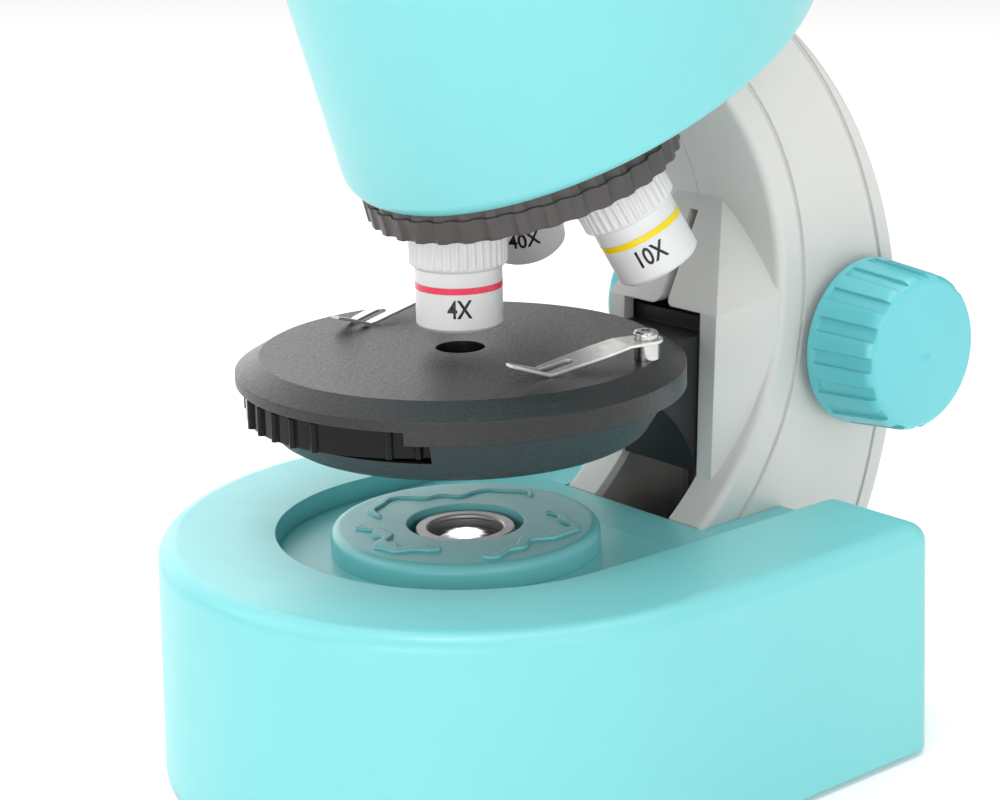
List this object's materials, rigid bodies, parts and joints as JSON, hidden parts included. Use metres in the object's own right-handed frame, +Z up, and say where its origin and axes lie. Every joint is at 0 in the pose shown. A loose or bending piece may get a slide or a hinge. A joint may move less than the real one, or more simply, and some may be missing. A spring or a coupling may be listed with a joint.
{
  "type": "toy microscope",
  "caption": "Toy compound microscope with a lamp base, C-shaped arm, geared round stage, tilted objective turret, flared head and revolving inclined eyepiece.",
  "frame": {"origin": "middle of the bounding box on the table, under the rubber feet", "axes": "+Z up, +X to the right, +Y from the rounded front of the base back to the arm; the optical axis of the stage is vertical at y = -0.0267 m"},
  "size_m": [0.1464, 0.1928, 0.2845],
  "materials": {
    "turquoise_plastic": "glossy moulded plastic",
    "arm_grey": "satin moulded plastic",
    "black_plastic": "fine grained",
    "stage_black": "crinkle paint",
    "stage_dark": "satin",
    "turret_brown": "satin",
    "white_plastic": "glossy",
    "ring_red": "printed",
    "ring_yellow": "printed",
    "ring_blue": "printed",
    "steel": "bright",
    "tube_chrome": "polished",
    "brass": "turned",
    "lamp_metal": "satin",
    "cell_jacket": "plain printed jacket",
    "foot_rubber": "matte",
    "lens_glass": "polished, coated",
    "diode_resin": "clear resin",
    "board_green": "solder mask"
  },
  "bodies": {
    "stand": {"base_shell": "turquoise_plastic", "base_bottom": "black_plastic", "rubber_feet": "foot_rubber", "base_screws": "steel", "aa_cells": "cell_jacket", "battery_contacts": "steel", "switch_body": "black_plastic", "lamp_pedestal": "turquoise_plastic", "lamp_bezel": "lamp_metal", "lamp_lens": "lens_glass", "lamp_diode": "diode_resin", "lamp_board": "board_green", "lamp_screws": "steel", "arm_shell_left": "arm_grey", "arm_shell_right": "arm_grey", "arm_screws": "steel", "guide_rods": "steel", "guide_blocks": "black_plastic", "shaft_bushes": "brass", "head_shell": "turquoise_plastic", "head_frame": "black_plastic", "head_collar": "arm_grey", "head_screws": "steel", "turret_pivot": "steel"},
    "battery_door": {"battery_cover": "black_plastic", "battery_cover_screw": "steel"},
    "switch_key": {"switch_slider": "white_plastic"},
    "focus_drive": {"focus_shaft": "steel", "focus_pinion": "white_plastic", "focus_knob_left": "turquoise_plastic", "focus_knob_right": "turquoise_plastic"},
    "stage": {"stage_plate": "stage_black", "stage_body": "stage_dark", "stage_bracket": "black_plastic", "stage_screws": "steel", "focus_rack": "brass", "clip_posts": "steel", "clip_screws": "steel", "diaphragm_pivot": "steel"},
    "diaphragm": {"diaphragm_wheel": "black_plastic"},
    "left_clip": {"clip_left": "steel"},
    "right_clip": {"clip_right": "steel"},
    "nosepiece": {"turret": "turret_brown", "objective_4x_barrel": "white_plastic", "objective_4x_ring": "ring_red", "objective_4x_lens": "lens_glass", "objective_10x_barrel": "white_plastic", "objective_10x_ring": "ring_yellow", "objective_10x_lens": "lens_glass", "objective_40x_barrel": "white_plastic", "objective_40x_ring": "ring_blue", "objective_40x_lens": "lens_glass"},
    "elbow": {"elbow_housing": "turquoise_plastic", "elbow_ring": "steel", "elbow_prism": "lens_glass", "eyepiece_tube": "tube_chrome"},
    "eyepiece": {"eyepiece_body": "black_plastic", "eyepiece_eye_lens": "lens_glass", "eyepiece_field_lens": "lens_glass", "eyecup": "foot_rubber"}
  },
  "joints": [
    {"name": "stage_slide", "type": "slide", "parent": "stand", "child": "stage", "axis": [0, 0, 1], "range_m": [-0.02, 0.001]},
    {"name": "focus_turn", "type": "hinge", "parent": "stand", "child": "focus_drive", "pos_m": [0, 0.07608, 0.0844], "axis": [1, 0, 0], "range_deg": [-10, 192]},
    {"name": "turret_turn", "type": "hinge", "parent": "stand", "child": "nosepiece", "pos_m": [0, -0.00792, 0.1324], "axis": [0, -0.2823, 0.9593], "continuous": true},
    {"name": "diaphragm_turn", "type": "hinge", "parent": "stage", "child": "diaphragm", "pos_m": [-0.0038, -0.03432, 0.086], "axis": [0, 0, 1], "continuous": true},
    {"name": "clip_left_swing", "type": "hinge", "parent": "stage", "child": "left_clip", "pos_m": [-0.0359, -0.00422, 0.1], "axis": [0, 0, 1], "range_deg": [-40, 30]},
    {"name": "clip_right_swing", "type": "hinge", "parent": "stage", "child": "right_clip", "pos_m": [0.0359, -0.00422, 0.1], "axis": [0, 0, 1], "range_deg": [-30, 40]},
    {"name": "elbow_turn", "type": "hinge", "parent": "stand", "child": "elbow", "pos_m": [0, -0.02672, 0.203], "axis": [0, 0, 1], "continuous": true},
    {"name": "eyepiece_lift", "type": "slide", "parent": "elbow", "child": "eyepiece", "axis": [0, -0.7071, 0.7071], "range_m": [0, 0.03]},
    {"name": "switch_slide", "type": "slide", "parent": "stand", "child": "switch_key", "axis": [1, 0, 0], "range_m": [0, 0.005]},
    {"name": "battery_cover_lift", "type": "slide", "parent": "stand", "child": "battery_door", "axis": [0, 0, -1], "range_m": [0, 0.025]}
  ],
  "couplings": [
    {"joint": "focus_turn", "follows": "stage_slide", "rad_per_m": -166.67}
  ]
}
